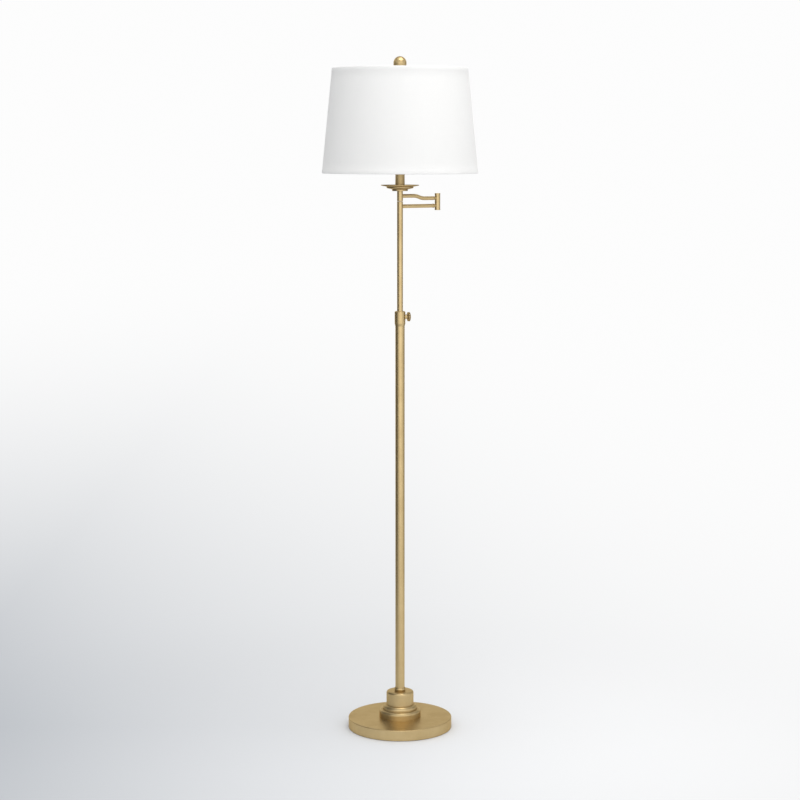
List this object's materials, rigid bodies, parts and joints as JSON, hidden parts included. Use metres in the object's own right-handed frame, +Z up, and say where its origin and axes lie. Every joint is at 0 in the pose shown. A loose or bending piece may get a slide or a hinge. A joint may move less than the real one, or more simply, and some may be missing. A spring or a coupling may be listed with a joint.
{
  "type": "swing-arm floor lamp",
  "caption": "Floor lamp with a weighted round base, height-adjustable pole, folding swing arm, drip pan and tapered drum fabric shade on a harp.",
  "frame": {"origin": "on the floor, under the axis of the pole and of the shade", "axes": "+Z up along the pole, +X to the right of the lamp as seen from the front, with the folded arms pointing to +X and a little to the back, +Y to the back"},
  "size_m": [0.3666, 0.3666, 1.61],
  "materials": {
    "satin_brass": "satin antique brass, lightly aged",
    "zinc_steel": "zinc plated, dull",
    "cast_weight": "rough casting, black dip",
    "felt": "dark pressed felt",
    "black_bushing": "moulded, matte",
    "nylon": "natural nylon",
    "paper_insulator": "vulcanised fibre",
    "dark_moulding": "phenolic moulding",
    "plain_brass": "bright stamped brass",
    "frosted_glass": "white frosted",
    "aluminium_base": "rolled",
    "white_wire": "white powder coat",
    "shade_lining": "white styrene sheet, matte",
    "shade_fabric": "off-white linen weave"
  },
  "bodies": {
    "stand": {"base_felt": "felt", "base_shell": "satin_brass", "base_weight": "cast_weight", "cord_inlet_bushing": "black_bushing", "base_cap": "satin_brass", "lamp_pipe": "zinc_steel", "pipe_washer": "zinc_steel", "pipe_nut": "zinc_steel", "pole_foot_bushing": "zinc_steel", "pole_foot_ring": "satin_brass", "lower_pole": "satin_brass", "clamp_collar": "satin_brass", "collar_liner": "nylon"},
    "clamp_shoe": {"clamp_shoe": "nylon"},
    "thumb_screw": {"thumb_screw": "satin_brass", "thumb_knob": "satin_brass"},
    "mast": {"mast_tube": "satin_brass", "mast_guide_ring": "nylon", "mast_pivot": "satin_brass", "mast_pivot_washer": "satin_brass", "mast_pivot_nut": "satin_brass"},
    "lower_arm": {"lower_arm_knuckle": "satin_brass", "lower_arm_tube": "satin_brass", "lower_arm_tip": "satin_brass", "elbow_lower_knuckle": "satin_brass", "elbow_pivot": "satin_brass", "elbow_washer": "satin_brass", "elbow_bottom_cap": "satin_brass", "elbow_top_cap": "satin_brass"},
    "upper_arm": {"elbow_upper_knuckle": "satin_brass", "upper_arm_tube": "satin_brass", "upper_arm_tip": "satin_brass", "head_stem": "satin_brass", "drip_pan": "satin_brass", "pan_nut": "zinc_steel", "neck_tube": "satin_brass", "neck_ring": "satin_brass", "head_pipe": "zinc_steel", "harp_saddle": "satin_brass", "harp_sleeves": "satin_brass", "harp": "satin_brass", "socket_cap": "satin_brass", "socket_shell": "satin_brass", "socket_liner": "paper_insulator", "socket_body": "dark_moulding", "socket_screw_shell": "plain_brass", "socket_contact": "plain_brass", "bulb_glass": "frosted_glass", "bulb_base": "aluminium_base"},
    "switch_key": {"switch_shaft": "satin_brass", "switch_knob": "satin_brass"},
    "shade": {"harp_stud": "satin_brass", "shade_spider": "white_wire", "shade_top_ring": "white_wire", "shade_bottom_ring": "white_wire", "shade_liner": "shade_lining", "shade_fabric": "shade_fabric", "shade_top_hem": "shade_fabric", "shade_bottom_hem": "shade_fabric"},
    "finial": {"finial": "satin_brass"}
  },
  "joints": [
    {"name": "mast_height", "type": "slide", "parent": "stand", "child": "mast", "axis": [0, 0, 1], "range_m": [-0.23, 0.12]},
    {"name": "screw_travel", "type": "slide", "parent": "stand", "child": "clamp_shoe", "axis": [0.9703, 0.2419, 0], "range_m": [0, 0.0016]},
    {"name": "screw_turn", "type": "hinge", "parent": "clamp_shoe", "child": "thumb_screw", "pos_m": [0, 0, 1.0004], "axis": [0.9703, 0.2419, 0], "range_deg": [0, 720]},
    {"name": "arm_swivel", "type": "hinge", "parent": "mast", "child": "lower_arm", "pos_m": [0, 0, 1.26], "axis": [0, 0, 1], "range_deg": [-170, 170]},
    {"name": "elbow_swivel", "type": "hinge", "parent": "lower_arm", "child": "upper_arm", "pos_m": [0.0892, 0.0515, 1.2712], "axis": [0, 0, 1], "range_deg": [-170, 170]},
    {"name": "switch_turn", "type": "hinge", "parent": "upper_arm", "child": "switch_key", "pos_m": [0, -0.02, 1.3665], "axis": [0, -1, 0], "continuous": true},
    {"name": "shade_turn", "type": "hinge", "parent": "upper_arm", "child": "shade", "pos_m": [0, 0, 1.57], "axis": [0, 0, 1], "continuous": true},
    {"name": "finial_turn", "type": "hinge", "parent": "shade", "child": "finial", "pos_m": [0, 0, 1.58], "axis": [0, 0, 1], "continuous": true}
  ],
  "couplings": [
    {"joint": "screw_turn", "follows": "screw_travel", "rad_per_m": 7854}
  ]
}
